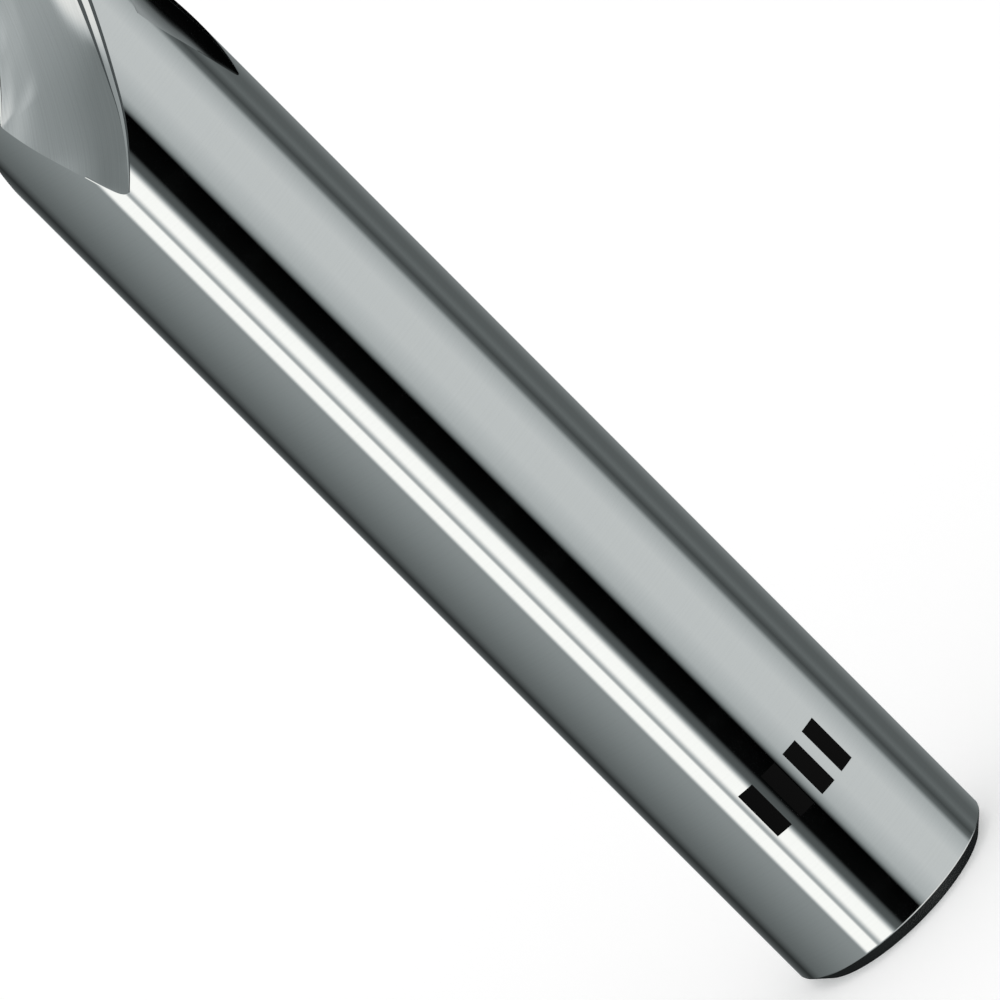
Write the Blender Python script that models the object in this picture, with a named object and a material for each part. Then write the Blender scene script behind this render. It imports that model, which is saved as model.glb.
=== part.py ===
"""Square end mill, ground from one solid carbide rod: plain round shank, four right-hand
helical flutes that run out on the shank side, relieved lands and gashed end teeth.
The tool stands on its shank end, with its axis on Z and its cutting end up."""

import math

import bmesh
import bpy
import numpy as np
from mathutils import Matrix, Vector

MM = 0.001

# Blank
DIAMETER = 8.0 * MM
OVERALL_LENGTH = 63.0 * MM
SHANK_LENGTH = 36.0 * MM  # up to the point of the first flute
SHANK_CHAMFER = 0.5 * MM  # at 45 degrees

# Flutes
FLUTES = 4
HELIX = math.radians(30.0)
CORE_DIAMETER = 5.0 * MM
LAND_WIDTH = 1.6 * MM  # along the outside, from cutting edge to heel
RUNOUT_LENGTH = 10.6 * MM  # from a flute's point up to its full depth
RAKE = math.radians(8.0)
GULLET_RADIUS = 0.9 * MM
FLOOR_HOLLOW = 0.10 * MM
HEEL_WIDTH = 0.48 * MM  # sloping strip between the land's heel and the flute's floor
HEEL_DEPTH = 0.336 * MM
SWING = 0.55 * MM  # sideways turn of a flute where the wheel leaves it
SWING_LENGTH = 2.6 * MM
FIRST_FLUTE = math.radians(-111.3)  # where the first flute's point lies round the axis
STAGGER = 0.45 * MM  # every second flute runs out this much lower, so their index is unequal

# Relief behind the cutting edges
CUTTING_LENGTH = 19.0 * MM
RELIEF_RUNOUT = 1.5 * MM
PRIMARY_WIDTH = 0.8 * MM
PRIMARY_RELIEF = math.radians(9.0)
SECONDARY_RELIEF = math.radians(13.0)

# End teeth
DISH = math.radians(1.5)
END_PRIMARY_WIDTH = 0.8 * MM
END_PRIMARY_RELIEF = math.radians(8.0)
END_SECONDARY_RELIEF = math.radians(20.0)
GASH_DEPTH = 0.35 * MM  # at its inner end
GASH_SLOPE = math.radians(38.0)  # its root falls outwards
GASH_WALL = math.radians(42.0)  # its far wall rises from the root
GASH_SET_BACK = 0.12 * MM  # from the corner of the tooth back to its end cutting edge
LONG_TOOTH_GAP = 0.12 * MM  # from the axis to the gash of the two long end teeth
SHORT_TOOTH_GAP = 0.85 * MM

# Steps of the mesh
LAND_STEPS = 12
FLOOR_STEPS = 6
GULLET_STEPS = 4
RAKE_STEPS = 2
EXIT_LEVELS = 14
EXIT_HEIGHT = 4.0 * MM
FLUTE_LEVEL = 0.62 * MM
WELD = 0.0005 * MM
CARBIDE_GREY = (0.33, 0.34, 0.35, 1.0)

RADIUS = DIAMETER / 2
PITCH = 2 * math.pi / FLUTES
REACH = 0.6 * DIAMETER  # how far the cutters of the end teeth stand out from the axis
STOCK = 0.3 * MM  # left on the end face for the grinding of the end teeth
OVERLAP = 0.03 * MM  # between neighbouring cutters of the end teeth


def clear_scene():
    for obj in list(bpy.data.objects):
        bpy.data.objects.remove(obj, do_unlink=True)


def carbide():
    material = bpy.data.materials.new("ground_carbide")
    material.use_nodes = True
    shader = material.node_tree.nodes["Principled BSDF"]
    shader.inputs["Base Color"].default_value = CARBIDE_GREY
    shader.inputs["Metallic"].default_value = 1.0
    shader.inputs["Roughness"].default_value = 0.18
    return material


def polar(radius, angle):
    return np.array([radius * math.cos(angle), radius * math.sin(angle)])


def depth_share(height):
    """Share of the full depth at a height above the flute's point, as a round wheel leaves it."""
    left = max(0.0, 1.0 - height / RUNOUT_LENGTH)
    return 1.0 - left * left


def relief_share(height):
    """0 on the plain land of the run-out, 1 along the length of cut."""
    start = OVERALL_LENGTH - SHANK_LENGTH - CUTTING_LENGTH
    t = min(1.0, max(0.0, (height - start) / RELIEF_RUNOUT))
    return t * t * (3.0 - 2.0 * t)


def heel_angle(height):
    """Where the heel of a flute lies round the axis, from the flute's point upwards."""
    left = max(0.0, 1.0 - height / SWING_LENGTH)
    return (height * math.tan(HELIX) + SWING * (1.0 - left * left)) / RADIUS


def own_height(height, number):
    """Height above a flute's own point: the odd flutes run out lower on the shank."""
    return max(0.0, height + STAGGER * (number % 2))


def flute_turn(height, number):
    """Where the heel of one of the flutes lies round the axis."""
    return FIRST_FLUTE + heel_angle(own_height(height, number)) - number * PITCH


def land_radius(back, share):
    """Radius of a land at an arc length behind its cutting edge."""
    primary = min(back, PRIMARY_WIDTH) * math.tan(PRIMARY_RELIEF)
    secondary = max(0.0, back - PRIMARY_WIDTH) * math.tan(SECONDARY_RELIEF)
    return RADIUS - share * (primary + secondary)


def floor_line(share):
    """Foot of the heel strip, and the unit direction of the flute's floor from there."""
    foot_radius = RADIUS - share * HEEL_DEPTH
    foot_angle = -share * HEEL_WIDTH / RADIUS
    full_foot = RADIUS - HEEL_DEPTH
    turn = share * math.acos((CORE_DIAMETER / 2 + FLOOR_HOLLOW) / full_foot)
    normal = foot_angle - turn
    return polar(foot_radius, foot_angle), polar(1.0, normal - math.pi / 2)


def meet(point, along, other, other_along):
    """Distance along the first line to where it crosses the second, and along the second."""
    system = np.array([along, -other_along]).T
    return np.linalg.solve(system, other - point)


def rake_line():
    """Cutting edge, and the unit direction of the rake face inwards."""
    edge_angle = LAND_WIDTH / RADIUS - PITCH
    return polar(RADIUS, edge_angle), polar(1.0, edge_angle + math.pi + RAKE)


def arc_between(start, corner, end, steps):
    """Points of the arc that touches the two lines from the corner at start and end."""
    half = 0.5 * (start + end)
    size = np.linalg.norm(half - corner)
    if size < WELD:
        return [start] * (steps + 1)
    reach = np.linalg.norm(start - corner)
    centre = corner + (half - corner) * (reach / size) ** 2
    first = math.atan2(*(start - centre)[::-1])
    sweep = math.atan2(*(end - centre)[::-1]) - first
    sweep = (sweep + math.pi) % (2 * math.pi) - math.pi
    radius = np.linalg.norm(start - centre)
    return [centre + polar(radius, first + sweep * i / steps) for i in range(steps + 1)]


def straight(start, end, steps):
    return [start + (end - start) * i / steps for i in range(steps + 1)]


def hollow_floor(start, end, share, steps):
    """The floor, hollowed towards the axis by a flat parabola."""
    across = end - start
    inwards = np.array([across[1], -across[0]])
    length = np.linalg.norm(across)
    inwards = inwards / length if length > WELD else inwards * 0.0
    if np.dot(inwards, start) > 0:
        inwards = -inwards
    points = []
    for i in range(steps + 1):
        t = i / steps
        sag = 4 * t * (1 - t) * FLOOR_HOLLOW * share
        points.append(start + across * t + inwards * sag)
    return points


def flute_profile(share):
    """Points from the foot of the heel strip along the floor, the gullet and the rake face.
    Near the flute's point the floor leaves through the outside before it reaches the rake face,
    and the points of the gullet and the rake face then lie where it leaves."""
    foot, along = floor_line(share)
    edge, inwards = rake_line()
    to_corner, depth = meet(foot, along, edge, inwards)
    corner = foot + along * to_corner
    if depth <= WELD:
        reach = -np.dot(foot, along)
        exit_length = reach + math.sqrt(max(0.0, reach**2 + RADIUS**2 - np.dot(foot, foot)))
        leaves = foot + along * exit_length
        floor = hollow_floor(foot, leaves, share, FLOOR_STEPS)
        return floor + [leaves] * (GULLET_STEPS + RAKE_STEPS)
    half_corner = 0.5 * math.acos(float(np.clip(np.dot(-along, -inwards), -1.0, 1.0)))
    tangent = min(GULLET_RADIUS / math.tan(half_corner), 0.8 * depth, 0.6 * to_corner)
    floor_end = corner - along * tangent
    rake_start = corner - inwards * tangent
    floor = hollow_floor(foot, floor_end, share, FLOOR_STEPS)
    gullet = arc_between(floor_end, corner, rake_start, GULLET_STEPS)
    rake = straight(rake_start, edge, RAKE_STEPS)
    return floor + gullet[1:] + rake[1:]


def section(height):
    """One closed outline of the fluted body, height above the first flute's point. Each flute
    is followed by its land, which ends at the heel of the next flute."""
    relief = relief_share(height)
    outline = []
    for number in range(FLUTES):
        profile = flute_profile(depth_share(own_height(height, number)))
        turn = flute_turn(height, number)
        edge_angle = math.atan2(profile[-1][1], profile[-1][0])
        land_angle = turn + edge_angle - flute_turn(height, number + 1)
        spin = np.array([[math.cos(turn), -math.sin(turn)], [math.sin(turn), math.cos(turn)]])
        outline.extend(spin @ point for point in profile)
        for i in range(LAND_STEPS):
            back = land_angle * (i + 1) / LAND_STEPS
            outline.append(spin @ polar(land_radius(back * RADIUS, relief), edge_angle - back))
    return outline


def blank_section(radius):
    """A plain circle with the same points as the outline where the lowest flutes begin."""
    return [point * radius / RADIUS for point in section(-STAGGER)]


def levels():
    """Heights above the first flute's point: fine where the flutes run out, then even."""
    shares = [(i / EXIT_LEVELS) ** 1.25 for i in range(EXIT_LEVELS + 1)]
    exit_part = [EXIT_HEIGHT * share - STAGGER for share in shares]
    last = exit_part[-1]
    top = OVERALL_LENGTH - SHANK_LENGTH + STOCK
    count = math.ceil((top - last) / FLUTE_LEVEL)
    rest = [last + (top - last) * (i + 1) / count for i in range(count)]
    return sorted(exit_part + [0.0]) + rest


def loft(rings):
    """Skin over closed outlines, each a list of points with its height, capped at both ends."""
    mesh = bmesh.new()
    rows = [[mesh.verts.new((x, y, height)) for x, y in points] for height, points in rings]
    count = len(rows[0])
    for lower, upper in zip(rows, rows[1:]):
        for i in range(count):
            j = (i + 1) % count
            mesh.faces.new((lower[i], lower[j], upper[j], upper[i]))
    mesh.faces.new(reversed(rows[0]))
    mesh.faces.new(rows[-1])
    bmesh.ops.remove_doubles(mesh, verts=mesh.verts, dist=WELD)
    bmesh.ops.dissolve_degenerate(mesh, edges=mesh.edges, dist=WELD)
    bmesh.ops.triangulate(mesh, faces=mesh.faces)
    bmesh.ops.recalc_face_normals(mesh, faces=mesh.faces)
    return mesh


def add_object(name, mesh, material=None):
    data = bpy.data.meshes.new(name)
    mesh.to_mesh(data)
    mesh.free()
    obj = bpy.data.objects.new(name, data)
    bpy.context.scene.collection.objects.link(obj)
    if material:
        data.materials.append(material)
    return obj


def cutter(name, corners, turn):
    """Convex block through the corners, turned about the axis, that cuts and isn't drawn."""
    mesh = bmesh.new()
    spin = Matrix.Rotation(turn, 3, "Z")
    for corner in corners:
        mesh.verts.new(spin @ Vector(corner))
    bmesh.ops.convex_hull(mesh, input=mesh.verts)
    bmesh.ops.recalc_face_normals(mesh, faces=mesh.faces)
    obj = add_object(name, mesh)
    obj.hide_render = True
    obj.display_type = "WIRE"
    return obj


def end_relief_corners(front, slope, drop):
    """Block over the end face: its underside passes drop below the edge and falls towards -Y."""
    lid = OVERALL_LENGTH + 2 * STOCK
    corners = []
    for x in (OVERLAP - GASH_SET_BACK, REACH):
        edge_height = OVERALL_LENGTH - (RADIUS - x) * math.tan(DISH)
        for y in (front, -REACH):
            behind = -GASH_SET_BACK - y
            corners.append((x, y, edge_height + drop - behind * math.tan(slope)))
            corners.append((x, y, lid))
    return corners


def gash_corners(inner):
    """Wedge ahead of the end cutting edge: upright against it, its root falling outwards."""
    lid = OVERALL_LENGTH + 2 * STOCK
    corners = []
    for x in (inner, REACH):
        root = OVERALL_LENGTH - GASH_DEPTH - (x - inner) * math.tan(GASH_SLOPE)
        far = (lid - root) / math.tan(GASH_WALL)
        corners.append((x, -GASH_SET_BACK, root))
        corners.append((x, -GASH_SET_BACK, lid))
        corners.append((x, far - GASH_SET_BACK, lid))
    return corners


def cut(body, tool):
    boolean = body.modifiers.new(tool.name, "BOOLEAN")
    boolean.operation = "DIFFERENCE"
    boolean.solver = "MANIFOLD"  # EXACT leaves the thin helical walls of the flutes open
    boolean.object = tool


def end_teeth(body):
    """Dished end with two relief facets behind each edge, and a gash in front of it."""
    top = OVERALL_LENGTH - SHANK_LENGTH
    second_start = -GASH_SET_BACK - END_PRIMARY_WIDTH
    raised = END_PRIMARY_WIDTH * (math.tan(END_SECONDARY_RELIEF) - math.tan(END_PRIMARY_RELIEF))
    first = end_relief_corners(GASH_SET_BACK + OVERLAP, END_PRIMARY_RELIEF, 0.0)
    second = end_relief_corners(second_start, END_SECONDARY_RELIEF, raised)
    for number in range(FLUTES):
        turn = flute_turn(top, number) + LAND_WIDTH / RADIUS - PITCH
        gap = LONG_TOOTH_GAP if number % 2 == 0 else SHORT_TOOTH_GAP
        cut(body, cutter(f"cut_primary_{number + 1}", first, turn))
        cut(body, cutter(f"cut_secondary_{number + 1}", second, turn))
        cut(body, cutter(f"cut_gash_{number + 1}", gash_corners(gap), turn))


def endmill():
    rings = [
        (0.0, blank_section(RADIUS - SHANK_CHAMFER)),
        (SHANK_CHAMFER, blank_section(RADIUS)),
    ]
    rings += [(SHANK_LENGTH + height, section(height)) for height in levels()]
    body = add_object("endmill", loft(rings), carbide())
    end_teeth(body)
    body.data.shade_smooth()
    body.data.set_sharp_from_angle(angle=math.radians(20.0))
    return body


clear_scene()
endmill()
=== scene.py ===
# Looks of the solid carbide end mill: its ground surfaces as one fine mesh, the finish of each
# kind of ground face, a pale floor, a studio of soft boxes and flags, and the camera.
# Units are metres, +Z runs from the shank end to the cutting end.

import math

import bpy
import numpy as np
from mathutils import Matrix, Vector


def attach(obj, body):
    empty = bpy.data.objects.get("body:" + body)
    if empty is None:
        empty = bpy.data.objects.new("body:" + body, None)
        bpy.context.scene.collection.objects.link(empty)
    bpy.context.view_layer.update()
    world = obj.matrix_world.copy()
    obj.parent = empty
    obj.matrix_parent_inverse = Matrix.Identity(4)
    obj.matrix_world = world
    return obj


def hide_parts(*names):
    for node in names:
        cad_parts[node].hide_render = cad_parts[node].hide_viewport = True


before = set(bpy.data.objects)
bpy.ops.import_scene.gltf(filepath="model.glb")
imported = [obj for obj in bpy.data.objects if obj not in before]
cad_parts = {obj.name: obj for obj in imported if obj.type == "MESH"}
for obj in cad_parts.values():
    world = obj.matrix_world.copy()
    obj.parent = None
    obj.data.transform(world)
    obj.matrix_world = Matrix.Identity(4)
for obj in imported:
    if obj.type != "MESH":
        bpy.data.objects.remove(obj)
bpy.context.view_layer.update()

mm = 0.001


def linear(hexColour):
    # sRGB hex to linear: the lower part of the curve is straight, the rest a power of 2.4
    channels = [int(hexColour[i : i + 2], 16) / 255 for i in (1, 3, 5)]
    return [c / 12.92 if c <= 0.04045 else ((c + 0.055) / 1.055) ** 2.4 for c in channels] + [1.0]


def addNode(tree, kind, settings=None, inputs=None):
    # one node with its settings, its inputs set to a value or linked from another node's output;
    # gives back its outputs
    node = tree.nodes.new("ShaderNode" + kind)
    for name, value in (settings or {}).items():
        setattr(node, name, value)
    for name, value in (inputs or {}).items():
        if isinstance(value, bpy.types.NodeSocket):
            tree.links.new(value, node.inputs[name])
        else:
            node.inputs[name].default_value = value
    return node.outputs


# The tool's sizes, as they are in the CAD
tool = {
    "diameter": 8.0 * mm,
    "length": 63.0 * mm,
    "shank": 36.0 * mm,
    "chamfer": 0.5 * mm,
    "flutes": 4,
    "helix": math.radians(30),
    "core": 5.0 * mm,
    "land": 1.6 * mm,
    "runout": 10.6 * mm,
    "rake": math.radians(8),
    "gullet": 0.9 * mm,
    "gulletOfRake": 0.8,  # the most of the rake face that the round gullet takes
    "gulletOfFloor": 0.6,  # and of the floor
    "hollow": 0.10 * mm,
    "heelWidth": 0.48 * mm,
    "heelDepth": 0.336 * mm,
    "swing": 0.55 * mm,
    "swingLength": 2.6 * mm,
    "firstFlute": math.radians(-111.3),
    "stagger": 0.45 * mm,
    "cut": 19.0 * mm,
    "reliefRunout": 1.5 * mm,
    "primaryWidth": 0.8 * mm,
    "primaryRelief": math.radians(9),
    "secondaryRelief": math.radians(13),
}

# The end teeth, as in the CAD; the blocks that cut them reach out by a share of the diameter
endTeeth = {
    "dish": math.radians(1.5),
    "primaryWidth": 0.8 * mm,
    "primaryRelief": math.radians(8),
    "secondaryRelief": math.radians(20),
    "gashDepth": 0.35 * mm,
    "gashSlope": math.radians(38),
    "gashWall": math.radians(42),
    "setBack": 0.12 * mm,
    "longGap": 0.12 * mm,
    "shortGap": 0.85 * mm,
    "stock": 0.3 * mm,
    "overlap": 0.03 * mm,
    "reach": 0.6,
}

# What the mesh has beyond the CAD: the chamfer's corner broken with a stone, a hair line along
# each corner of the heel strip, whose dark grey is painted shade, and the lip honed round where a
# flute leaves through the shank.
# Lines on the strip are shares of its width; the inner one grows from its least width between
# two shares of full depth. The turns are how far a normal may lie from the cylinder's.
edgeDetail = {
    "edgeBreak": 0.016 * mm,
    "outerLine": 0.2,
    "innerLine": 0.32,
    "innerLeast": 0.05,
    "innerBegins": 0.2,
    "innerFull": 0.75,
    "landLine": 0.045 * mm,
    "lineTurn": math.radians(5),
    "lip": 0.08 * mm,
    "lipMost": 0.1,
    "lipTurn": math.radians(40),
    "lipHeight": 1.3 * mm,
}

# The mesh: points across each part of a flute, levels where the flutes run out, crowded towards
# their start by a power, level steps above, the distance within which points are made one, and
# the angle from which an edge is sharp
grid = {
    "heel": 3,
    "floor": 26,
    "gullet": 18,
    "rake": 8,
    "land": 32,
    "exitLevels": 48,
    "exitHeight": 4.6 * mm,
    "exitPower": 1.3,
    "leastStep": 0.008 * mm,
    "level": 0.21 * mm,
    "weld": 0.0004 * mm,
    "sharpFrom": math.radians(7),
}

# The kinds of ground surface, by material slot; the corner slot's dark grey is painted shade
slotOf = {"shank": 0, "shankEnd": 1, "flute": 2, "endTeeth": 3, "corner": 4}

radius = tool["diameter"] / 2
pitch = 2 * math.pi / tool["flutes"]
fluted = tool["length"] - tool["shank"]


def polar(r, angle):
    # points at radius r and angle, in the last axis
    return np.stack([r * np.cos(angle), r * np.sin(angle)], axis=-1)


def cross(a, b):
    # how far plane vector a turns into b: the height of their cross product
    return a[..., 0] * b[..., 1] - a[..., 1] * b[..., 0]


def between(a, b, t):
    # straight rows of points from a to b, one row a height, t across
    return a[:, None, :] + (b - a)[:, None, :] * np.atleast_2d(t)[:, :, None]


def ownHeight(height, number):
    # every second flute runs out lower on the shank
    return np.clip(height + tool["stagger"] * (number % 2), 0, None)


def heelTurn(height, number):
    # A heel climbs with the helix, plus a swing that dies out where the wheel leaves:
    # swing * (1 - (1 - h / swingLength)^2).
    own = ownHeight(height, number)
    left = np.clip(1 - own / tool["swingLength"], 0, None)
    climb = own * math.tan(tool["helix"]) + tool["swing"] * (1 - left**2)
    return tool["firstFlute"] + climb / radius - number * pitch


def landFall(back, relief):
    # how far a land lies inside the full circle, at an arc length behind its cutting edge
    fall = np.minimum(back, tool["primaryWidth"]) * math.tan(tool["primaryRelief"])
    fall += np.clip(back - tool["primaryWidth"], 0, None) * math.tan(tool["secondaryRelief"])
    return fall * relief


def fluteRows(own):
    # The wheel leaves the flute along a circle: the share of full depth is 1 - (1 - h / runout)^2.
    # Rows of one flute in its own frame, heel at angle 0: the foot of the heel strip, the floor
    # line tangent to the core, the round gullet and the rake line up to the cutting edge.
    share = 1 - np.clip(1 - own / tool["runout"], 0, None) ** 2
    fullFoot = radius - tool["heelDepth"]
    turn = share * math.acos((tool["core"] / 2 + tool["hollow"]) / fullFoot)
    footAngle = -share * tool["heelWidth"] / radius
    foot = polar(radius - share * tool["heelDepth"], footAngle)
    along = polar(1.0, footAngle - turn - math.pi / 2)
    edgeAngle = tool["land"] / radius - pitch
    edge = polar(radius, np.array(edgeAngle))
    inwards = polar(1.0, np.array(edgeAngle + math.pi + tool["rake"]))
    toCorner = cross(edge - foot, inwards) / cross(along, inwards)
    depth = cross(edge - foot, along) / cross(along, inwards)
    reached = depth > grid["weld"]
    reach = -np.sum(foot * along, axis=1)
    leaves = reach + np.sqrt(np.clip(reach**2 + radius**2 - np.sum(foot * foot, axis=1), 0, None))
    # the floor leaves through the outside until it is deep enough to reach the rake line
    corner = foot + along * np.where(reached, toCorner, leaves)[:, None]
    half = 0.5 * np.arccos(np.clip(np.sum(along * inwards, axis=1), -1, 1))
    room = np.minimum(tool["gulletOfRake"] * depth, tool["gulletOfFloor"] * toCorner)
    tangent = np.minimum(tool["gullet"] / np.tan(half), room)
    tangent = np.where(reached, tangent, 0.0)[:, None]
    floorEnd = corner - along * tangent
    rakeStart = corner - inwards * tangent
    rakeEnd = np.where(reached[:, None], edge, corner)

    # the floor is hollowed by a flat parabola, 4 t (1 - t) of the hollow; its last column is
    # narrow, for the honed lip where the floor leaves through the shank
    wide = np.linalg.norm(floorEnd - foot, axis=1)
    last = edgeDetail["lip"] / np.maximum(wide, edgeDetail["lip"] / edgeDetail["lipMost"])
    u = np.linspace(0, 1, grid["floor"]) * (1 - last[:, None])
    u = np.concatenate([u, np.ones((len(u), 1))], axis=1)
    floor = between(foot, floorEnd, u)
    sideways = np.stack([along[:, 1], -along[:, 0]], axis=-1)
    sideways *= -np.sign(np.sum(sideways * foot, axis=1))[:, None]
    sag = 4 * u * (1 - u) * tool["hollow"]
    floor += sideways[:, None, :] * (share[:, None] * sag)[:, :, None]
    # the gullet is a circular arc, as a weighted curve through floorEnd, corner and rakeStart
    v = np.linspace(0, 1, grid["gullet"] + 1)[None, 1:]
    weight = np.sin(half)[:, None] * 2 * v * (1 - v)
    total = (1 - v) ** 2 + weight + v**2
    arc = (
        floorEnd[:, None, :] * ((1 - v) ** 2 / total)[:, :, None]
        + corner[:, None, :] * (weight / total)[:, :, None]
        + rakeStart[:, None, :] * (v**2 / total)[:, :, None]
    )
    rake = between(rakeStart, rakeEnd, np.linspace(0, 1, grid["rake"] + 1)[1:])
    return share, foot, np.concatenate([floor, arc, rake], axis=1)


def flutedGrid(height, number):
    # One flute with the land that follows it, up to the heel of the next flute. The land's relief
    # fades in over reliefRunout along an S-curve, r * r * (3 - 2 r).
    ramp = np.clip((height - fluted + tool["cut"]) / tool["reliefRunout"], 0, 1)
    relief = ramp * ramp * (3 - 2 * ramp)
    share, foot, rows = fluteRows(ownHeight(height, number))
    landAngles = []
    for which in (number - 1, number):
        edge = fluteRows(ownHeight(height, which))[2][:, -1]
        outer = np.arctan2(edge[:, 1], edge[:, 0])
        landAngles.append(heelTurn(height, which) + outer - heelTurn(height, which + 1))
    before, after = landAngles
    heelRadius = radius - landFall(before * radius, relief)
    heel = np.stack([heelRadius, np.zeros_like(heelRadius)], axis=-1)
    # the strip's own points leave a hair line along each of its two corners
    near = edgeDetail["outerLine"]
    grown = (share - edgeDetail["innerBegins"]) / (edgeDetail["innerFull"] - edgeDetail["innerBegins"])
    far = 1 - edgeDetail["innerLine"] * np.clip(grown, edgeDetail["innerLeast"], 1)
    stops = near + (far[:, None] - near) * np.linspace(0, 1, grid["heel"])
    strip = between(heel, foot, stops)
    # the land's last step is as narrow as its hair line
    wide = 1 - edgeDetail["landLine"] / radius / after[:, None]
    steps = np.linspace(0, 1, grid["land"])[1:] * wide
    back = after[:, None] * np.concatenate([steps, np.ones((len(steps), 1))], axis=1)
    fall = landFall(back * radius, relief[:, None])
    land = polar(radius - fall, outer[:, None] - back)
    one = np.concatenate([strip, rows, land], axis=1)
    angle = heelTurn(height, number)
    c, s = np.cos(angle)[:, None], np.sin(angle)[:, None]
    x, y = one[..., 0], one[..., 1]
    return np.stack([x * c - y * s, x * s + y * c], axis=-1)


def toolGrid():
    # rings of points from the shank end to above the end teeth, fine where the flutes run out
    top = fluted + endTeeth["stock"]
    share = np.linspace(0, 1, grid["exitLevels"] + 1) ** grid["exitPower"]
    fine = grid["exitHeight"] * share
    fine = np.sort(np.concatenate([fine[1:], fine - tool["stagger"]]))
    fine = fine[np.concatenate([[True], np.diff(fine) > grid["leastStep"]])]
    count = math.ceil((top - fine[-1]) / grid["level"])
    height = np.concatenate([fine, np.linspace(fine[-1], top, count + 1)[1:]])
    around = np.concatenate([flutedGrid(height, n) for n in range(tool["flutes"])], axis=1)
    tall = np.broadcast_to((height + tool["shank"])[:, None, None], around.shape[:2] + (1,))
    body = np.concatenate([around, tall], axis=2)
    circle = around[0]
    # the chamfer's upper corner is broken with a stone, halfway between chamfer and shank
    chamfer, broken = tool["chamfer"], edgeDetail["edgeBreak"]
    corner = chamfer + broken * math.sqrt(2)
    shankRings = []
    for inside, z in ((chamfer, 0.0), (broken, chamfer - broken), (0.0, corner)):
        tall = np.full((len(circle), 1), z)
        ring = np.concatenate([circle * (1 - inside / radius), tall], axis=1)
        shankRings.append(ring[None])
    return np.concatenate(shankRings + [body], axis=0)


def closedMesh(name, rings, ringSlot):
    # quads between neighbouring rings, points that fall together made one, a fan on each end
    rows, columns = rings.shape[:2]
    index = np.arange(rows * columns).reshape(rows, columns)
    right = np.roll(index, -1, axis=1)
    quads = np.stack([index[:-1], index[1:], right[1:], right[:-1]], axis=-1).reshape(-1, 4)
    slots = ringSlot.reshape(-1)
    points = rings.reshape(-1, 3)
    keys = np.round(points / grid["weld"]).astype(np.int64)
    _, first, merged = np.unique(keys, axis=0, return_index=True, return_inverse=True)
    points, quads = points[first], merged.reshape(-1)[quads]
    lowMiddle, highMiddle = len(points), len(points) + 1
    middles = np.array([[0, 0, rings[0, 0, 2]], [0, 0, rings[-1, 0, 2]]])
    points = np.concatenate([points, middles])
    low, high = merged.reshape(rows, columns)[[0, -1]]
    triangles = np.concatenate([quads[:, [0, 1, 2]], quads[:, [0, 2, 3]]])
    slots = np.concatenate([slots, slots])
    ends = ((low, lowMiddle, False, slotOf["shankEnd"]), (high, highMiddle, True, slotOf["endTeeth"]))
    for ring, middle, flip, slot in ends:
        fan = np.stack([np.full(columns, middle), ring, np.roll(ring, -1)], axis=-1)
        triangles = np.concatenate([triangles, fan[:, ::-1] if flip else fan])
        slots = np.concatenate([slots, np.full(columns, slot)])
    a, b, c = triangles.T
    whole = (a != b) & (b != c) & (c != a)
    triangles, slots = triangles[whole], slots[whole]
    # the sign of the volume tells which way round the triangles run
    corners = points[triangles]
    if np.linalg.det(corners - points.mean(axis=0)).sum() < 0:
        triangles = triangles[:, ::-1]
    mesh = bpy.data.meshes.new(name)
    mesh.from_pydata(points.tolist(), [], triangles.tolist())
    mesh.polygons.foreach_set("material_index", slots.astype(np.int32))
    mesh.update()
    return mesh


def ringSlots(rings):
    # The first rows are the chamfer, its broken corner and the plain shank; above them the strip,
    # floor, gullet and rake are flute. The hair lines, painted dark grey as shade, are the land's last
    # column and the strip's first and last, from where the heel that they belong to begins.
    chamferRows, shankRows = 2, 3
    rows, columns = rings.shape[:2]
    ground = grid["heel"] + grid["floor"] + grid["gullet"] + grid["rake"]
    number, place = np.divmod(np.arange(columns), columns // tool["flutes"])
    slots = np.full((rows - 1, columns), slotOf["shank"], dtype=np.int32)
    slots[shankRows:, place < ground] = slotOf["flute"]
    outer = place >= columns // tool["flutes"] - 2  # the land's last column, the strip's first
    begun = ownHeight(rings[1:, :, 2] - tool["shank"], number + outer) > grid["weld"]
    slots[begun & (outer | (place == grid["heel"] - 1))] = slotOf["corner"]
    slots[:chamferRows] = slotOf["shankEnd"]
    return slots


def blockMesh(name, corners, angle):
    # convex block: its corners as two ends of the same outline, turned about the axis
    points = np.array(corners)
    c, s = math.cos(angle), math.sin(angle)
    points = points @ np.array([[c, -s, 0], [s, c, 0], [0, 0, 1]]).T
    side = len(points) // 2
    faces = [list(range(side)), list(range(2 * side - 1, side - 1, -1))]
    faces += [[i, i + side, (i + 1) % side + side, (i + 1) % side] for i in range(side)]
    mesh = bpy.data.meshes.new(name)
    mesh.from_pydata(points.tolist(), [], faces)
    centre = points.mean(axis=0)
    first = points[faces[0]]
    outwards = np.cross(first[1] - first[0], first[2] - first[0])
    if np.dot(outwards, first.mean(axis=0) - centre) < 0:
        mesh.flip_normals()
    mesh.update()
    return mesh


def reliefCorners(front, slope, raised):
    # over the end face: the underside follows the dished edge and falls away behind it at the
    # relief angle, as depth * tan(slope)
    lid = tool["length"] + 2 * endTeeth["stock"]
    reach = endTeeth["reach"] * tool["diameter"]
    corners = []
    for x in (endTeeth["overlap"] - endTeeth["setBack"], reach):
        edge = tool["length"] - (radius - x) * math.tan(endTeeth["dish"])
        fall = [edge + raised + (endTeeth["setBack"] + y) * math.tan(slope) for y in (front, -reach)]
        corners += [(x, front, fall[0]), (x, -reach, fall[1]), (x, -reach, lid), (x, front, lid)]
    return corners


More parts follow.
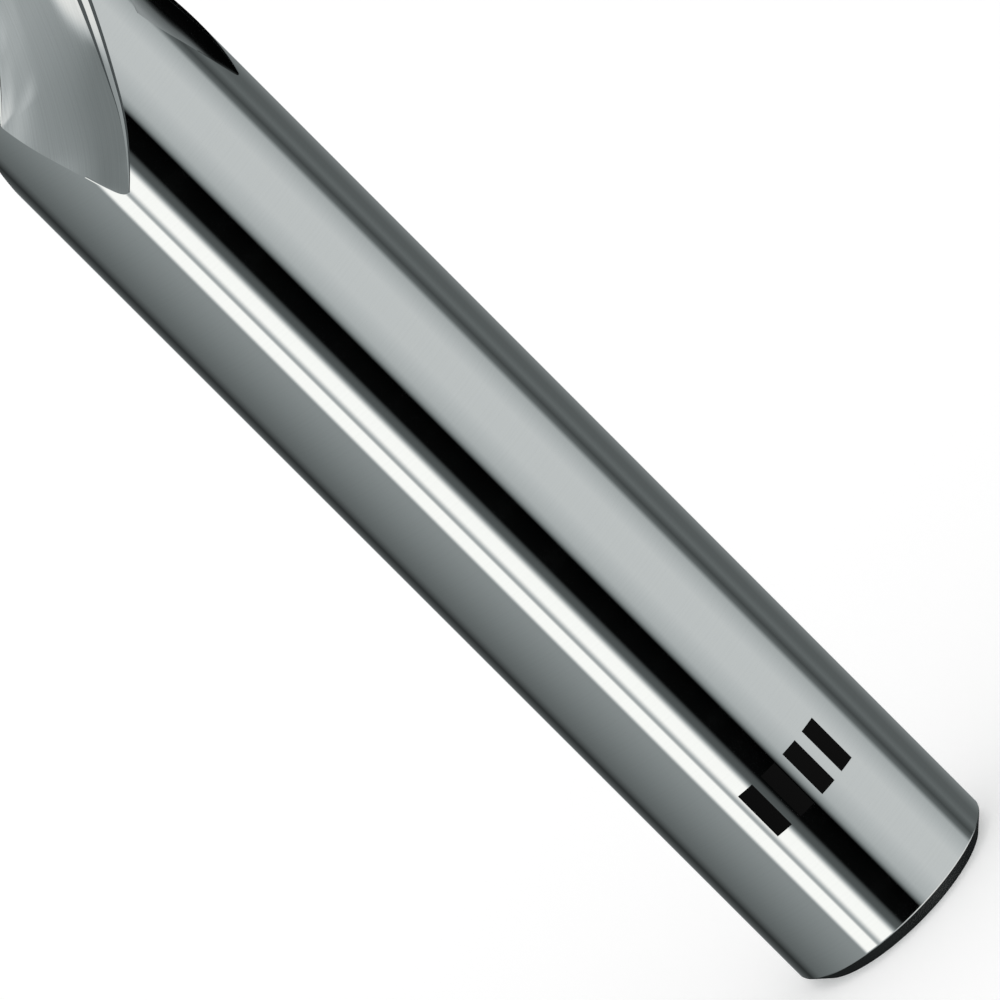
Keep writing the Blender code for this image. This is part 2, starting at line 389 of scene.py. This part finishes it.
def gashCorners(inner):
    # ahead of the edge: one wall upright against it, the other sloping at the wheel's angle, the
    # root falling outwards
    lid = tool["length"] + 2 * endTeeth["stock"]
    corners = []
    for x in (inner, endTeeth["reach"] * tool["diameter"]):
        root = tool["length"] - endTeeth["gashDepth"] - (x - inner) * math.tan(endTeeth["gashSlope"])
        far = (lid - root) / math.tan(endTeeth["gashWall"]) - endTeeth["setBack"]
        y = -endTeeth["setBack"]
        corners += [(x, y, root), (x, far, lid), (x, y, lid)]
    return corners


def groundEnd(piece):
    # the end teeth are cut as the grinder does: two relief faces and a gash for each tooth
    first, second = math.tan(endTeeth["primaryRelief"]), math.tan(endTeeth["secondaryRelief"])
    raised = endTeeth["primaryWidth"] * (second - first)
    front = endTeeth["setBack"] + endTeeth["overlap"]
    behind = -endTeeth["setBack"] - endTeeth["primaryWidth"]
    cutters = []
    for number in range(tool["flutes"]):
        angle = float(heelTurn(fluted, number)) + tool["land"] / radius - pitch
        gap = endTeeth["longGap"] if number % 2 == 0 else endTeeth["shortGap"]
        blocks = (
            reliefCorners(front, endTeeth["primaryRelief"], 0.0),
            reliefCorners(behind, endTeeth["secondaryRelief"], raised),
            gashCorners(gap),
        )
        for corners in blocks:
            mesh = blockMesh("endCutter", corners, angle)
            kinds = np.full(len(mesh.polygons), slotOf["endTeeth"], dtype=np.int32)
            mesh.polygons.foreach_set("material_index", kinds)
            for material in piece.data.materials:
                mesh.materials.append(material)
            cutter = bpy.data.objects.new("endCutter", mesh)
            bpy.context.scene.collection.objects.link(cutter)
            boolean = piece.modifiers.new("cut", "BOOLEAN")
            boolean.operation = "DIFFERENCE"
            boolean.solver = "MANIFOLD"
            boolean.object = cutter
            cutters.append(cutter)
    bpy.context.view_layer.update()
    graph = bpy.context.evaluated_depsgraph_get()
    finished = bpy.data.meshes.new_from_object(piece.evaluated_get(graph))
    piece.modifiers.clear()
    piece.data = finished
    for cutter in cutters:
        bpy.data.objects.remove(cutter, do_unlink=True)


# Finishes. Tungsten carbide with cobalt binder is a hard, faintly green-grey metal that takes a
# bright grind: how sharp it mirrors the room depends only on the wheel's grit. The real grinding
# lines are some 0.005 mm apart; they are drawn coarser so that the picture holds them.
# Each finish: metal colour, the attribute measured across its lines, smoothest and roughest
# grind, distance between lines, depth of a scratch, and how dark a scratch is beside the metal.
finish = {
    "shank": {
        "colour": "#d4d9d8",
        "across": "alongAxis",
        "roughness": (0.02, 0.045),
        "spacing": 0.09 * mm,
        "depth": 0.00002 * mm,
        "shade": 0.985,
    },
    "shankEnd": {
        "colour": "#d4d9d8",
        "across": "fromAxis",
        "roughness": (0.12, 0.22),
        "spacing": 0.06 * mm,
        "depth": 0.0005 * mm,
        "shade": 0.94,
    },
    "flute": {
        "colour": "#d4d9d8",
        "across": "acrossFlute",
        "roughness": (0.05, 0.085),
        "spacing": 0.07 * mm,
        "depth": 0.00015 * mm,
        "shade": 0.96,
    },
    "endTeeth": {
        "colour": "#d4d9d8",
        "across": "alongTooth",
        "roughness": (0.16, 0.26),
        "spacing": 0.06 * mm,
        "depth": 0.0006 * mm,
        "shade": 0.92,
    },
    # the hair lines: the roughness is a dull wheel corner; the dark grey colour is painted shade, the
    # dark that the edge's round and the crease beside it would mirror
    "corner": {
        "colour": "#616768",
        "across": "acrossFlute",
        "roughness": (0.3, 0.45),
        "spacing": 0.05 * mm,
        "depth": 0.0005 * mm,
        "shade": 0.9,
    },
}

# The grain of every grind: fine lines one spacing wide, and broad bands of some fourteen lines
grain = {
    "lineOctaves": 3.0,
    "lineFrom": 0.35,
    "lineTo": 0.6,
    "bandScale": 0.07,
    "bandOctaves": 2.0,
    "bandFrom": 0.3,
    "bandTo": 0.7,
}


def groundMetal(name, look):
    # Grinding lines: noise in one direction only, across the lines. A line is a shallow scratch
    # that tilts the mirror a little and is a touch darker than the metal between; the broad bands
    # are where the wheel cut a little rougher.
    material = bpy.data.materials.new(name)
    material.use_nodes = True
    tree = material.node_tree
    shader = tree.nodes["Principled BSDF"].inputs
    across = addNode(tree, "Attribute", {"attribute_name": look["across"]})["Fac"]
    place = addNode(tree, "Math", {"operation": "DIVIDE"}, {0: across, 1: look["spacing"]})[0]
    flat = {"noise_dimensions": "1D"}
    lines = {"W": place, "Scale": 1.0, "Detail": grain["lineOctaves"]}
    fine = addNode(tree, "TexNoise", flat, lines)["Fac"]
    bands = {"W": place, "Scale": grain["bandScale"], "Detail": grain["bandOctaves"]}
    broad = addNode(tree, "TexNoise", flat, bands)["Fac"]
    scratch = addNode(tree, "Bump", None, {"Height": fine, "Distance": look["depth"]})["Normal"]
    smooth, coarse = look["roughness"]
    limits = {
        "Value": broad,
        "From Min": grain["bandFrom"],
        "From Max": grain["bandTo"],
        "To Min": smooth,
        "To Max": coarse,
    }
    rough = addNode(tree, "MapRange", None, limits)["Result"]
    lit = linear(look["colour"])
    shaded = [channel * look["shade"] for channel in lit[:3]] + [1.0]
    scratched = {"Value": fine, "From Min": grain["lineFrom"], "From Max": grain["lineTo"]}
    share = addNode(tree, "MapRange", None, scratched)["Result"]
    tint = addNode(tree, "Mix", {"data_type": "RGBA"}, {0: share, 6: shaded, 7: lit})[2]
    tree.links.new(scratch, shader["Normal"])
    tree.links.new(rough, shader["Roughness"])
    tree.links.new(tint, shader["Base Color"])
    shader["Metallic"].default_value = 1.0
    return material


# Four plain bars, one for each flute, blackened by a laser near the shank end: a thin dark oxide
# that still has the sheen of metal, only very little of it. Their middle is given as a height
# over the shank end and an arc to the right of the side that faces the camera.
bars = {
    "colour": "#161616",
    "roughness": 0.5,
    "count": 4,
    "pitch": 1.0 * mm,
    "width": 0.62 * mm,
    "tall": 1.9 * mm,
    "middle": 6.45 * mm,
    "right": 0.45 * mm,
}


def laserBars(material):
    # 1 on the bars and 0 elsewhere: the arc round the shank counted in pitches, its fraction
    # below the bar's share, its whole number below the count, and the height near the middle
    tree = material.node_tree
    shader = tree.nodes["Principled BSDF"].inputs
    place = addNode(tree, "TexCoord")["Object"]
    xyz = addNode(tree, "SeparateXYZ", None, {0: place})
    times, compare = {"operation": "MULTIPLY"}, {"operation": "COMPARE"}
    forward = addNode(tree, "Math", times, {0: xyz["Y"], 1: -1.0})[0]
    angle = addNode(tree, "Math", {"operation": "ARCTAN2"}, {0: xyz["X"], 1: forward})[0]
    wide = (bars["count"] - 1) * bars["pitch"] + bars["width"]
    start = (bars["right"] - wide / 2) / bars["pitch"]
    scaled = {0: angle, 1: radius / bars["pitch"], 2: -start}
    steps = addNode(tree, "Math", {"operation": "MULTIPLY_ADD"}, scaled)[0]
    inRow = addNode(tree, "Math", compare, {0: steps, 1: bars["count"] / 2, 2: bars["count"] / 2})[0]
    part = addNode(tree, "Math", {"operation": "FRACT"}, {0: steps})[0]
    share = bars["width"] / bars["pitch"]
    onBar = addNode(tree, "Math", {"operation": "LESS_THAN"}, {0: part, 1: share})[0]
    height = {0: xyz["Z"], 1: bars["middle"], 2: bars["tall"] / 2}
    inHeight = addNode(tree, "Math", compare, height)[0]
    both = addNode(tree, "Math", times, {0: inRow, 1: onBar})[0]
    mask = addNode(tree, "Math", times, {0: both, 1: inHeight})[0]
    bright = shader["Base Color"].links[0].from_socket
    rough = shader["Roughness"].links[0].from_socket
    colours = {0: mask, 6: bright, 7: linear(bars["colour"])}
    tint = addNode(tree, "Mix", {"data_type": "RGBA"}, colours)[2]
    dull = addNode(tree, "Mix", {"data_type": "FLOAT"}, {0: mask, 2: rough, 3: bars["roughness"]})[0]
    tree.links.new(tint, shader["Base Color"])
    tree.links.new(dull, shader["Roughness"])


def groundShank():
    # centreless ground: rings round the axis, so fine that the shank mirrors like chrome, with
    # only a whisper of grain in the bright bands
    material = groundMetal("centrelessGroundCarbide", finish["shank"])
    laserBars(material)
    return material


def groundShankEnd():
    # the shank's end and its chamfer are ground while the tool spins: soft rings round the axis
    return groundMetal("faceGroundCarbide", finish["shankEnd"])


def groundFlute():
    # ground by the rim of a wheel that follows the helix: silky lines run up the flute, and its
    # reflections are softer than the shank's
    return groundMetal("wheelGroundCarbide", finish["flute"])


def groundEndTeeth():
    # ground by a small cup wheel: short lines square to each cutting edge, satin to the eye
    return groundMetal("cupGroundCarbide", finish["endTeeth"])


def cornerPaintedShade():
    # the wheel's corner wears first, so both corners of the heel strip carry a rougher, duller hair
    # line; its dark grey is painted shade along the edge and the crease, which outlines the flute
    return groundMetal("wheelCornerPaintedShade", finish["corner"])


def measureLines(mesh):
    # Places in metres for the grinding lines: height, distance from the axis, arc from the nearest
    # heel (wrapped on the land), and distance out along the nearest cutting edge.
    points = np.empty(len(mesh.vertices) * 3, np.float32)
    mesh.vertices.foreach_get("co", points)
    x, y, z = points.reshape(-1, 3).T.astype(np.float64)
    angle = np.arctan2(y, x)
    fromHeel = np.mod(angle - heelTurn(z - tool["shank"], 0) - tool["land"] / radius / 2, pitch)
    fromEdge = angle - heelTurn(fluted, 0) - tool["land"] / radius
    fromEdge -= pitch * np.round(fromEdge / pitch)
    places = {
        "alongAxis": z,
        "fromAxis": np.hypot(x, y),
        "acrossFlute": fromHeel * radius,
        "alongTooth": np.hypot(x, y) * np.cos(fromEdge),
    }
    for name, value in places.items():
        mesh.attributes.new(name, "FLOAT", "POINT").data.foreach_set("value", value.astype(np.float32))


def trueNormals(mesh):
    # The shank and the lands below the relief are one true cylinder, so they get its normals.
    # Where a shallow flute leaves through it, the lip is honed round: the floor's last corners
    # get the cylinder's normals too.
    loops, faces = len(mesh.loops), len(mesh.polygons)
    normals = np.empty(loops * 3, np.float32)
    mesh.corner_normals.foreach_get("vector", normals)
    normals = normals.reshape(-1, 3)
    vertex = np.empty(loops, np.int32)
    mesh.loops.foreach_get("vertex_index", vertex)
    points = np.empty(len(mesh.vertices) * 3, np.float32)
    mesh.vertices.foreach_get("co", points)
    points = points.reshape(-1, 3)[vertex]
    slot = np.empty(faces, np.int32)
    mesh.polygons.foreach_get("material_index", slot)
    sides = np.empty(faces, np.int32)
    mesh.polygons.foreach_get("loop_total", sides)
    away = np.hypot(points[:, 0], points[:, 1])
    outwards = points * (1, 1, 0) / np.maximum(away, grid["weld"])[:, None]
    slot = np.repeat(slot, sides)
    facing = np.sum(outwards * normals, axis=1)
    onRound = (away > radius - grid["weld"]) & (facing > math.cos(edgeDetail["lipTurn"]))
    onLip = onRound & (slot == slotOf["flute"])
    onLip &= points[:, 2] < tool["shank"] + edgeDetail["lipHeight"]
    onLine = onRound & (slot == slotOf["corner"]) & (facing > math.cos(edgeDetail["lineTurn"]))
    smooth = (slot == slotOf["shank"]) | onLip | onLine
    smooth &= points[:, 2] < tool["length"] - tool["cut"]
    normals[smooth] = outwards[smooth]
    mesh.normals_split_custom_set(normals.tolist())


def endmillPiece():
    rings = toolGrid()
    mesh = closedMesh("endmillGround", rings, ringSlots(rings))
    piece = bpy.data.objects.new("endmillGround", mesh)
    bpy.context.scene.collection.objects.link(piece)
    for make in (groundShank, groundShankEnd, groundFlute, groundEndTeeth, cornerPaintedShade):
        mesh.materials.append(make())
    groundEnd(piece)
    measureLines(piece.data)
    piece.data.shade_smooth()
    piece.data.set_sharp_from_angle(angle=grid["sharpFrom"])
    trueNormals(piece.data)
    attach(piece, "root")
    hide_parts("endmill")
    print("end mill meshed,", len(piece.data.polygons), "faces")


# The studio as the ground metal mirrors it: rings of cards, one over another. Each ring begins
# between two heights in degrees over the horizon; each card is from, to and brightness at each
# side, in degrees round the tool from the viewer's side, positive to the right. The plain shank
# mirrors the low ring, the flutes mirror the rings over it. Matt surfaces get one even light.
# Red and blue against green change from a dark card to a white one: the two brightnesses, and
# the channel's share at each.
studio = {
    "rings": [
        {
            "name": "floor",
            "cards": [
                (-180, -140, 0.015, 0.015),
                (-115, -50, 0.3, 0.5),
                (20, 115, 1.1, 1.0),
                (138, 180, 0.015, 0.015),
            ],
        },
        {
            "name": "low",
            "begins": (-21, -18),
            "cards": [
                (-172, -168, 0.6, 0.15),
                (-142, -126, 0.035, 0.165),
                (-108, -66, 0.217, 0.355),
                (-59.8, -57, 0.36, 1.38),
                (-46.3, -44.6, 1.38, 0.48),
                (-42.9, -38.5, 0.5, 1.38),
                (-27.8, -23.5, 1.36, 0.33),
                (-21, -16.2, 0.125, 0.11),
                (-12.5, 8.8, 0.003, 0.0005),
                (13, 19, 0.38, 0.60),
                (40, 68, 0.76, 0.77),
                (91.5, 97, 0.56, 0.18),
                (104, 115, 0.085, 0.185),
                (125, 135, 0.142, 0.14),
                (148, 160, 0.19, 0.24),
                (168, 172, 0.2, 0.6),
            ],
        },
        {
            "name": "lip",
            "begins": (-14.3, -12.0),
            "cards": [
                (-180, -165, 0.7, 0.7),
                (-150, -110, 0.14, 0.16),
                (-100, -68, 0.06, 0.08),
                (-62, -50, 1.3, 1.3),
                (-44, -26, 0.27, 0.42),
                (-18, -15, 1.0, 0.86),
                (-10, -3, 0.64, 0.56),
                (2, 30, 0.66, 0.35),
                (50, 62, 0.25, 0.08),
                (80, 148.8, 0.001, 0.001),
                (149.6, 153, 0.13, 0.21),
                (160, 165, 0.43, 0.45),
                (172, 180, 0.7, 0.7),
            ],
        },
        {
            "name": "low flute",
            "begins": (-9.5, -5.0),
            "cards": [
                (-180, -165, 0.7, 0.7),
                (-150, -110, 0.14, 0.16),
                (-100, -62, 0.05, 0.06),
                (-46, -32, 0.28, 0.25),
                (-26, -22, 0.38, 0.48),
                (-20.5, -18.5, 0.6, 0.66),
                (-16, -12, 0.5, 0.5),
                (-7, 0, 0.54, 0.56),
                (8, 30, 0.55, 0.32),
                (50, 62, 0.25, 0.08),
                (80, 148.8, 0.001, 0.001),
                (149.6, 153, 0.13, 0.21),
                (160, 165, 0.43, 0.45),
                (172, 180, 0.7, 0.7),
            ],
        },
        {
            "name": "high flute",
            "begins": (-0.5, 4.5),
            "cards": [
                (-180, -165, 0.7, 0.7),
                (-150, -110, 0.14, 0.16),
                (-100, -75, 0.08, 0.12),
                (-60, -46, 0.40, 0.42),
                (-39, -31, 0.25, 0.26),
                (-26, -21, 0.35, 0.40),
                (-16, -8, 0.43, 0.47),
                (2, 30, 0.48, 0.30),
                (50, 62, 0.25, 0.08),
                (80, 148.8, 0.001, 0.001),
                (149.6, 153, 0.13, 0.21),
                (160, 165, 0.43, 0.45),
                (172, 180, 0.7, 0.7),
            ],
        },
        {
            "name": "heel",
            "begins": (16.0, 19.6),
            "cards": [
                (-180, -130, 0.8, 0.7),
                (-105, -90, 0.5, 0.4),
                (-80, -46, 0.41, 0.46),
                (-37, -30, 0.72, 0.96),
                (-22, -12, 1.1, 1.12),
                (0, 40, 0.8, 0.8),
                (60, 125, 0.004, 0.004),
                (150, 180, 0.8, 0.8),
            ],
        },
        {
            "name": "ceiling",
            "begins": (35, 50),
            "cards": [
                (-180, -120, 0.7, 0.7),
                (-80, -20, 1.2, 1.2),
                (40, 100, 0.9, 0.7),
                (150, 180, 0.6, 0.7),
            ],
        },
        {"name": "middle", "begins": (70, 84), "cards": [(-180, 180, 0.95, 0.95)]},
    ],
    "matt": 0.9,
    "red": (0.1, 1.1, 0.92, 1.035),
    "blue": (0.7, 1.1, 1.015, 0.98),
}


def ringOfCards(tree, azimuth, cards):
    # a ramp round the tool, two stops a card; the ramp holds up to 1, so it is scaled by its peak
    ramp = addNode(tree, "ValToRGB", None, {"Fac": azimuth})["Color"]
    stops = [stop for a, b, first, last in cards for stop in ((a, first), (b, last))]
    elements = ramp.node.color_ramp.elements
    while len(elements) < len(stops):
        elements.new(0.5)
    peak = max(level for _, level in stops)
    for element, (edge, level) in zip(elements, stops):
        element.position = (edge + 180) / 360
        element.color = (level / peak, level / peak, level / peak, 1)
    return addNode(tree, "Math", {"operation": "MULTIPLY"}, {0: ramp, 1: peak})[0]


def lightStudio():
    # one world: the cards for mirror rays, an even light for matt surfaces, white behind the tool
    world = bpy.data.worlds.new("studio")
    bpy.context.scene.world = world
    world.use_nodes = True
    tree = world.node_tree
    tree.nodes.clear()
    xyz = addNode(tree, "SeparateXYZ", None, {0: addNode(tree, "TexCoord")["Generated"]})
    forward = addNode(tree, "Math", {"operation": "MULTIPLY"}, {0: xyz["Y"], 1: -1.0})[0]
    turn = addNode(tree, "Math", {"operation": "ARCTAN2"}, {0: xyz["X"], 1: forward})[0]
    whole = {"Value": turn, "From Min": -math.pi, "From Max": math.pi}
    azimuth = addNode(tree, "MapRange", None, whole)["Result"]
    tilt = addNode(tree, "Math", {"operation": "ARCSINE"}, {0: xyz["Z"]})[0]
    level = None
    for ring in studio["rings"]:
        own = ringOfCards(tree, azimuth, ring["cards"])
        if level is None:
            level = own
            continue
        low, high = (math.radians(value) for value in ring["begins"])
        soft = {"interpolation_type": "SMOOTHSTEP"}
        share = addNode(tree, "MapRange", soft, {"Value": tilt, "From Min": low, "From Max": high})[0]
        level = addNode(tree, "Mix", {"data_type": "FLOAT"}, {0: share, 2: level, 3: own})[0]
    # red and blue against green: grey cards are a little cool, white ones a little warm
    tinted = []
    for dark, bright, first, last in (studio["red"], studio["blue"]):
        tone = {"Value": level, "From Min": dark, "From Max": bright, "To Min": first, "To Max": last}
        share = addNode(tree, "MapRange", None, tone)["Result"]
        tinted.append(addNode(tree, "Math", {"operation": "MULTIPLY"}, {0: level, 1: share})[0])
    cards = addNode(tree, "CombineColor", None, {0: tinted[0], 1: level, 2: tinted[1]})[0]
    path = addNode(tree, "LightPath")
    mix = {"data_type": "RGBA"}
    even = [studio["matt"]] * 3 + [1.0]
    white = [1.0] * 4
    lit = addNode(tree, "Mix", mix, {0: path["Is Glossy Ray"], 6: even, 7: cards})[2]
    seen = addNode(tree, "Mix", mix, {0: path["Is Camera Ray"], 6: lit, 7: white})[2]
    light = addNode(tree, "Background", None, {"Color": seen})[0]
    addNode(tree, "OutputWorld", None, {"Surface": light})


# A wide pale paper sheet under the tool; its glow brings it up to the white behind
sheet = {"size": 12.0, "below": 0.02 * mm, "colour": "#f0f0f0", "glow": 0.235}


def paleFloor():
    # matt paper that takes the tool's shadow; mirror rays pass it and reach the studio's cards
    size, z = sheet["size"], -sheet["below"]
    mesh = bpy.data.meshes.new("paleFloor")
    corners = [(-size, -size, z), (size, -size, z), (size, size, z), (-size, size, z)]
    mesh.from_pydata(corners, [], [(0, 1, 2, 3)])
    floor = bpy.data.objects.new("paleFloor", mesh)
    bpy.context.scene.collection.objects.link(floor)
    material = bpy.data.materials.new("palePaper")
    material.use_nodes = True
    tree = material.node_tree
    tree.nodes.clear()
    matt = addNode(tree, "BsdfDiffuse", None, {"Color": linear(sheet["colour"])})[0]
    glow = addNode(tree, "Emission", None, {"Color": (1, 1, 1, 1), "Strength": sheet["glow"]})[0]
    paper = addNode(tree, "AddShader", None, {0: matt, 1: glow})[0]
    clear = addNode(tree, "BsdfTransparent")[0]
    mirrored = addNode(tree, "LightPath")["Is Glossy Ray"]
    both = addNode(tree, "MixShader", None, {0: mirrored, 1: paper, 2: clear})[0]
    addNode(tree, "OutputMaterial", None, {"Surface": both})
    mesh.materials.append(material)


# Camera: long lens, looking a little down from the cutting end's side, rolled so that the
# cutting end leaves the picture at the upper left
view = {
    "elevation": math.radians(16.4),
    "roll": math.radians(45),
    "distance": 1.35,
    "lookAt": 18.94 * mm,
    "frameWidth": 32.13 * mm,
    "sensor": 36.0,
    "nearest": 0.01,
    "farthest": 100.0,
}


def setCamera():
    e, r = view["elevation"], view["roll"]
    back = Vector((0, -math.cos(e), math.sin(e)))
    level = Vector((1, 0, 0))
    upright = Vector((0, math.sin(e), math.cos(e)))
    right = level * math.cos(r) - upright * math.sin(r)
    up = level * math.sin(r) + upright * math.cos(r)
    place = Vector((0, 0, view["lookAt"])) + back * view["distance"]
    turned = Matrix((right, up, back)).transposed().to_4x4()
    camera = bpy.data.objects.new("camera", bpy.data.cameras.new("camera"))
    camera.matrix_world = Matrix.Translation(place) @ turned
    camera.data.sensor_width = view["sensor"]
    camera.data.lens = view["sensor"] * view["distance"] / view["frameWidth"]
    camera.data.clip_start = view["nearest"]
    camera.data.clip_end = view["farthest"]
    bpy.context.scene.collection.objects.link(camera)
    bpy.context.scene.camera = camera


endmillPiece()
lightStudio()
paleFloor()
setCamera()
bpy.context.scene.view_settings.view_transform = "Standard"
print("studio and camera set")
